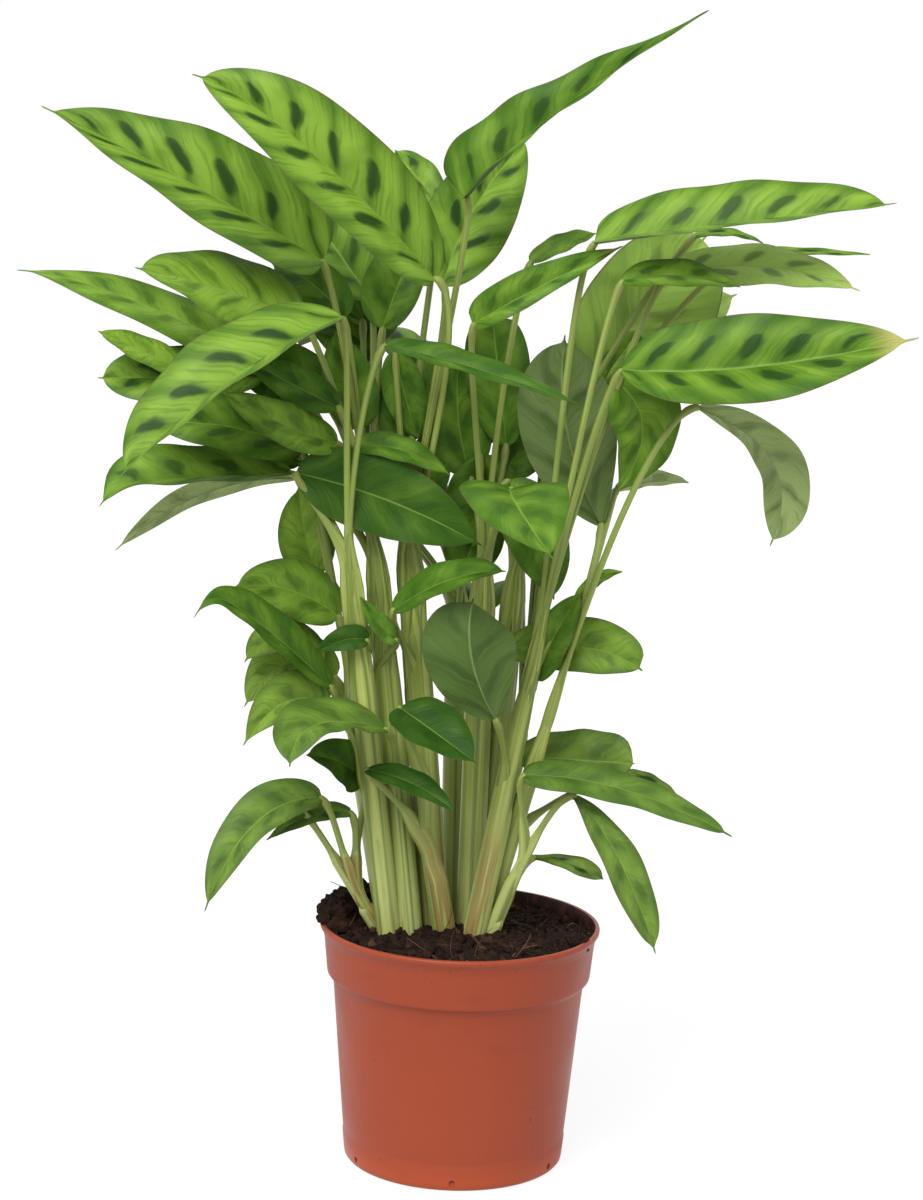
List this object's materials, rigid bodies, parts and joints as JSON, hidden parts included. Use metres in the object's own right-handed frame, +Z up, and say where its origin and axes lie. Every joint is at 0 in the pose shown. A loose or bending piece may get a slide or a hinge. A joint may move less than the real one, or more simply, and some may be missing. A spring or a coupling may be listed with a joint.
{
  "type": "potted foliage plant",
  "caption": "Leafy houseplant with patterned lance-shaped leaves on long stalks, growing in soil in a round tapered plastic nursery pot.",
  "frame": {"origin": "centre of the pot's flat base, where it rests", "axes": "+Z up along the pot's axis and the plant's height; -Y the plant's front; +X to the right seen from the front"},
  "size_m": [0.3743, 0.2126, 0.4895],
  "materials": {
    "pot_plastic": "satin",
    "soil": "matte",
    "leaf": "satin",
    "stem": "satin"
  },
  "bodies": {
    "root": {"pot": "pot_plastic", "soil": "soil", "shoot_outer_left": "stem", "shoot_low_left": "stem", "shoot_left_front": "stem", "shoot_left_mid": "stem", "shoot_left_rear": "stem", "shoot_centre_left": "stem", "shoot_front": "stem", "shoot_centre": "stem", "shoot_right_front": "stem", "shoot_right_mid": "stem", "shoot_low_right": "stem", "shoot_rear": "stem", "shoot_right_rear": "stem", "shoot_rear_right": "stem", "leaf_top_left": "leaf", "leaf_far_left": "leaf", "leaf_left_behind": "leaf", "leaf_left_edge": "leaf", "leaf_left_pale": "leaf", "leaf_left_small": "leaf", "leaf_left_front": "leaf", "leaf_left_under": "leaf", "leaf_left_turned": "leaf", "leaf_left_shaded": "leaf", "leaf_left_level": "leaf", "leaf_centre_level": "leaf", "leaf_centre_steep": "leaf", "leaf_top_rear": "leaf", "leaf_top": "leaf", "leaf_top_right": "leaf", "leaf_centre_up": "leaf", "leaf_small_rear": "leaf", "leaf_right_rear": "leaf", "leaf_right_behind": "leaf", "leaf_right_upper": "leaf", "leaf_right_knee": "leaf", "leaf_right_front": "leaf", "leaf_right_droop": "leaf", "leaf_right_inner": "leaf", "leaf_right_turned": "leaf", "leaf_centre_dark": "leaf", "leaf_centre_narrow": "leaf", "leaf_heart": "leaf", "leaf_centre_hidden": "leaf", "leaf_low_left_upper": "leaf", "leaf_low_left": "leaf", "leaf_low_left_folded": "leaf", "leaf_low_front": "leaf", "leaf_outer_left": "leaf", "leaf_low_centre": "leaf", "leaf_front_small": "leaf", "leaf_front_upper": "leaf", "leaf_front_turned": "leaf", "leaf_right_low": "leaf", "leaf_right_lower": "leaf", "leaf_low_right": "leaf", "leaf_outer_right": "leaf", "leaf_back_left": "leaf"}
  },
  "joints": []
}
